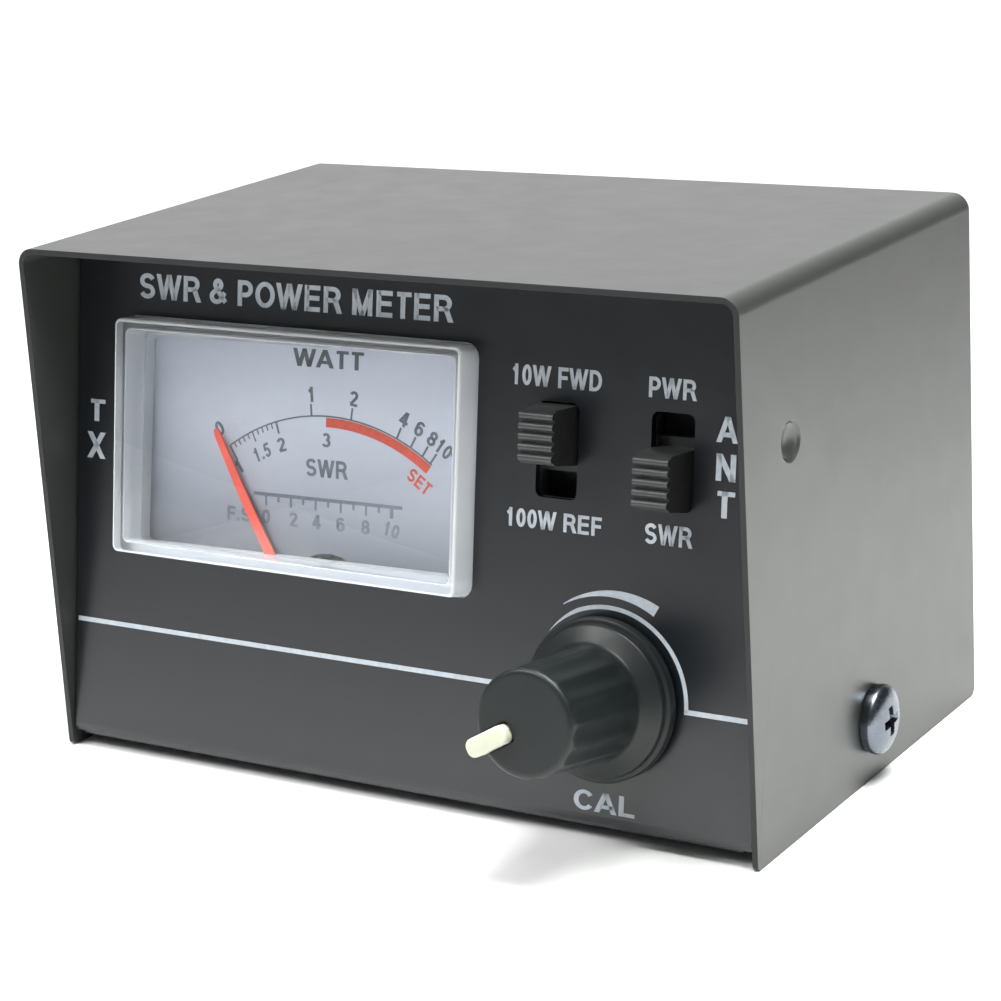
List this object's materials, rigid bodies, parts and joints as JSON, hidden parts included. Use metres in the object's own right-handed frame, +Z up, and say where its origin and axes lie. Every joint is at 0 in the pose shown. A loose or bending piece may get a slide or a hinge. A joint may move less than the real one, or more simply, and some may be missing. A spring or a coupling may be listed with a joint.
{
  "type": "swr and power meter",
  "caption": "Bench SWR and RF power meter: folded steel case with a leaning panel, moving-coil meter, slide switches, calibration knob and coaxial sockets at the back.",
  "frame": {"origin": "bottom centre of the overall bounding box, knob and rear sockets included", "axes": "+X to the right as seen from the front, +Y from the front panel to the rear sockets, +Z up"},
  "size_m": [0.1154, 0.1006, 0.0723],
  "materials": {
    "cover_paint": "satin black powder coat",
    "panel_paint": "satin black powder coat with pale printed lettering",
    "screw_nickel": "black-nickel plated",
    "plated_steel": "zinc plated",
    "lens_clear": "clear moulded, polished",
    "meter_plastic": "moulded grey",
    "dial_white": "matt white print",
    "needle_red": "coral red lacquer",
    "copper": "enamelled copper",
    "spring_bronze": "bright",
    "soft_iron": "plain",
    "brass": "machined",
    "knob_black": "semi-gloss black",
    "pointer_ivory": "ivory",
    "control_metal": "zinc plated",
    "phenolic": "brown laminate",
    "button_black": "moulded black",
    "board_green": "green laminate",
    "trimmer_tan": "unglazed",
    "trimmer_black": "moulded black",
    "socket_nickel": "nickel plated",
    "socket_insulator": "cream",
    "socket_contact": "gold plated",
    "diode_glass": "clear amber",
    "resistor_body": "lacquered",
    "wire_red": "smooth insulation",
    "wire_black": "smooth insulation",
    "wire_yellow": "smooth insulation",
    "wire_blue": "smooth insulation"
  },
  "bodies": {
    "case": {"board_screw_lower": "plated_steel", "board_screw_upper": "plated_steel", "chassis": "panel_paint", "coupler_board": "board_green", "cover": "cover_paint", "cover_screw_left": "screw_nickel", "cover_screw_right": "screw_nickel", "dial_plate": "dial_white", "diode_fwd": "diode_glass", "diode_ref": "diode_glass", "flange_screw_ant_lower": "plated_steel", "flange_screw_ant_upper": "plated_steel", "flange_screw_tx_lower": "plated_steel", "flange_screw_tx_upper": "plated_steel", "front_board": "board_green", "front_bridge": "brass", "hairspring": "spring_bronze", "jewel_front": "brass", "jewel_rear": "brass", "magnet_core": "soft_iron", "meter_case": "meter_plastic", "meter_lens": "lens_clear", "meter_terminal_neg": "brass", "meter_terminal_pos": "brass", "pot_bushing": "control_metal", "pot_can": "control_metal", "pot_nut": "control_metal", "pot_wafer": "phenolic", "rear_bridge": "brass", "resistor_fwd": "resistor_body", "resistor_ref": "resistor_body", "socket_ant_contact": "socket_contact", "socket_ant_insulator": "socket_insulator", "socket_ant_shell": "socket_nickel", "socket_tx_contact": "socket_contact", "socket_tx_insulator": "socket_insulator", "socket_tx_shell": "socket_nickel", "standoff_lower": "brass", "standoff_upper": "brass", "switch_mode_base": "phenolic", "switch_mode_frame": "plated_steel", "switch_power_base": "phenolic", "switch_power_frame": "plated_steel", "trimmer_fwd_base": "trimmer_tan", "trimmer_ref_base": "trimmer_tan", "wire_meter_neg": "wire_black", "wire_meter_pos": "wire_red", "wire_pickup_fwd": "wire_yellow", "wire_pickup_ref": "wire_blue", "yoke_ring": "soft_iron"},
    "knob_turning": {"knob": "knob_black", "knob_pointer": "pointer_ivory", "pot_shaft": "control_metal", "pot_wiper": "copper"},
    "pointer_movement": {"needle": "needle_red", "moving_coil": "copper"},
    "power_slider": {"switch_power_slider": "button_black"},
    "mode_slider": {"switch_mode_slider": "button_black"},
    "fwd_trimmer_rotor": {"trimmer_fwd_rotor": "trimmer_black"},
    "ref_trimmer_rotor": {"trimmer_ref_rotor": "trimmer_black"}
  },
  "joints": [
    {"name": "knob_turn", "type": "hinge", "parent": "case", "child": "knob_turning", "pos_m": [0.0325, -0.0286, 0.0186], "axis": [0, 0.9857, -0.1685], "range_deg": [-30, 270]},
    {"name": "needle_swing", "type": "hinge", "parent": "case", "child": "pointer_movement", "pos_m": [-0.01465, -0.02801, 0.02205], "axis": [0, 0.9857, -0.1685], "range_deg": [-4, 76], "stiffness_Nm_per_rad": 0.0005},
    {"name": "power_switch", "type": "slide", "parent": "case", "child": "power_slider", "axis": [0, 0.1685, 0.9857], "range_m": [-0.0042, 0]},
    {"name": "mode_switch", "type": "slide", "parent": "case", "child": "mode_slider", "axis": [0, 0.1685, 0.9857], "range_m": [0, 0.0042]},
    {"name": "fwd_trim", "type": "hinge", "parent": "case", "child": "fwd_trimmer_rotor", "pos_m": [0.02425, -0.01067, 0.04039], "axis": [0, 0.9857, -0.1685], "range_deg": [-120, 120]},
    {"name": "ref_trim", "type": "hinge", "parent": "case", "child": "ref_trimmer_rotor", "pos_m": [0.0407, -0.01067, 0.04039], "axis": [0, 0.9857, -0.1685], "range_deg": [-120, 120]}
  ]
}
